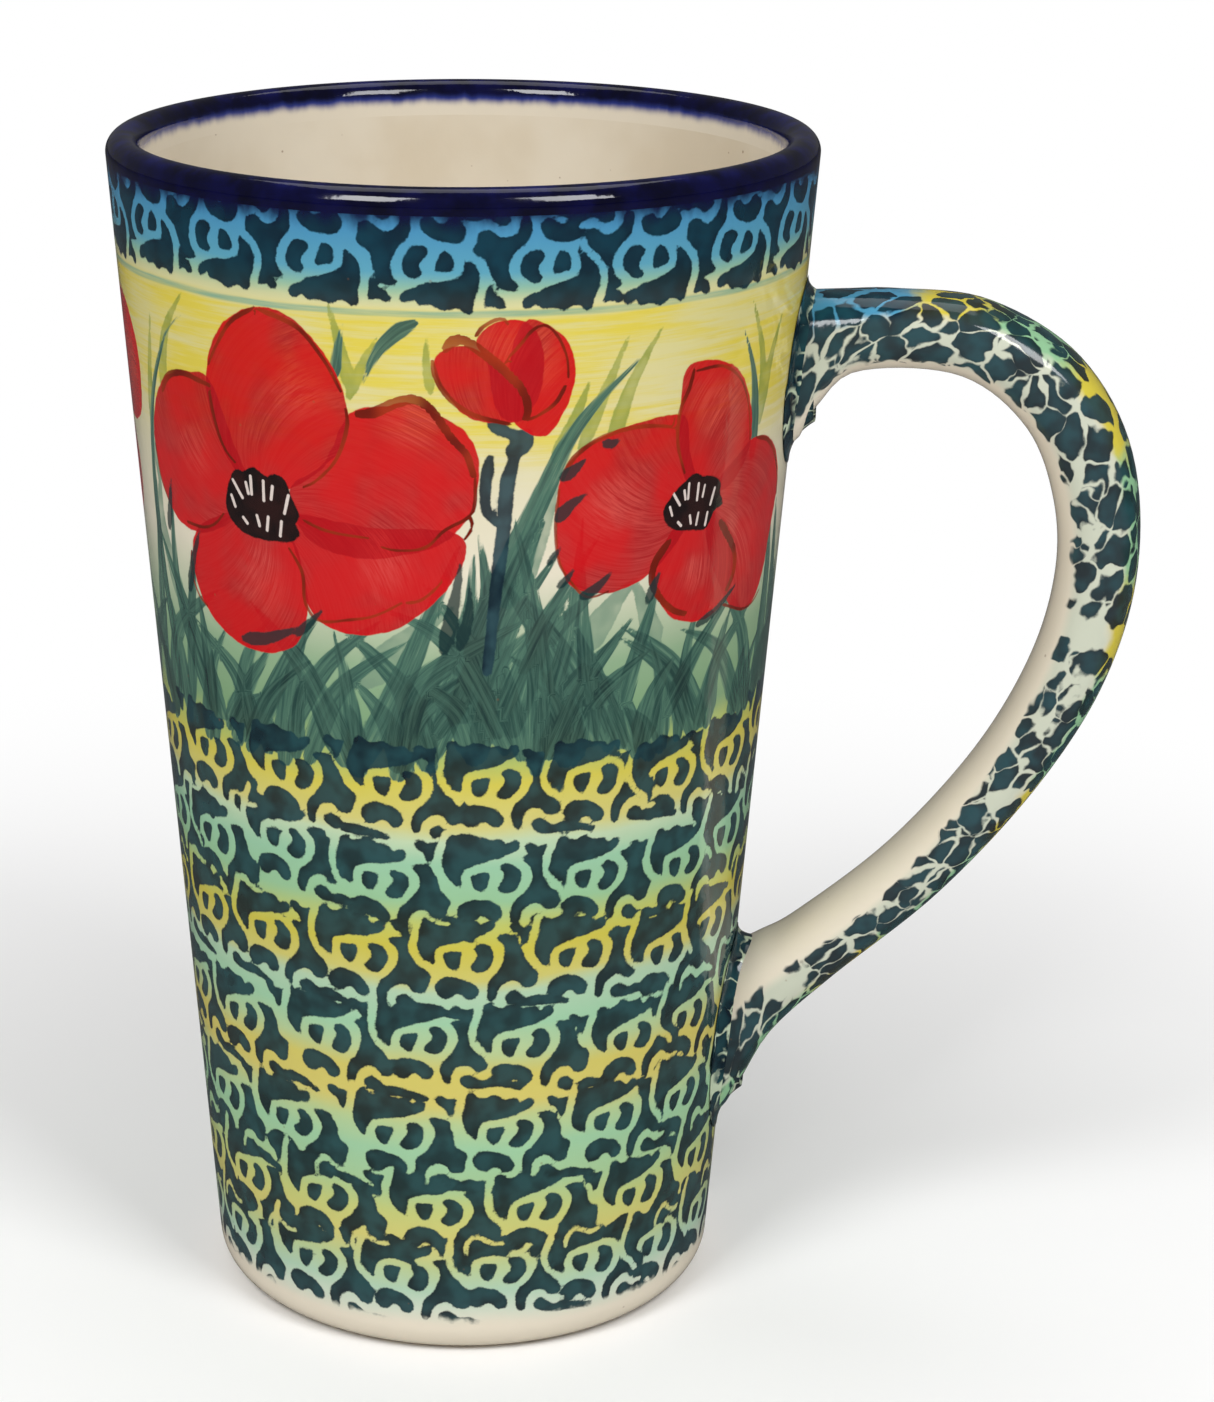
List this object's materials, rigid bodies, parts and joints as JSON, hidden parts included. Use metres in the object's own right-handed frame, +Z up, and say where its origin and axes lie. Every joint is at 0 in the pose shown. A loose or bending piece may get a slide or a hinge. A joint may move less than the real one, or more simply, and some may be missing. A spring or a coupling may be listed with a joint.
{
  "type": "tall stoneware mug",
  "caption": "Tall tapered hand-painted stoneware mug with a big loop handle, a dark glazed rim and a foot ring.",
  "frame": {"origin": "middle of the foot ring, on the table that the mug stands on", "axes": "+Z up along the cup's axis, +X towards the handle, +Y completes a right-handed frame"},
  "size_m": [0.1297, 0.0886, 0.152],
  "materials": {
    "bare_clay": "unglazed fired stoneware, matt",
    "joint_slip": "dark teal paint under gloss glaze",
    "painted_glaze": "poppies, grass and sponge stamps under clear gloss glaze",
    "cobalt_glaze": "deep cobalt gloss glaze",
    "cream_glaze": "clear gloss glaze over cream stoneware",
    "stamped_glaze": "sponge stamps and cream under clear gloss glaze"
  },
  "bodies": {
    "root": {"cup": "bare_clay", "handle": "bare_clay", "upper_joint": "joint_slip", "lower_joint": "joint_slip", "outer_glaze": "painted_glaze", "rim_glaze": "cobalt_glaze", "liner_glaze": "cream_glaze", "base_glaze": "cream_glaze", "handle_glaze": "stamped_glaze"}
  },
  "joints": []
}
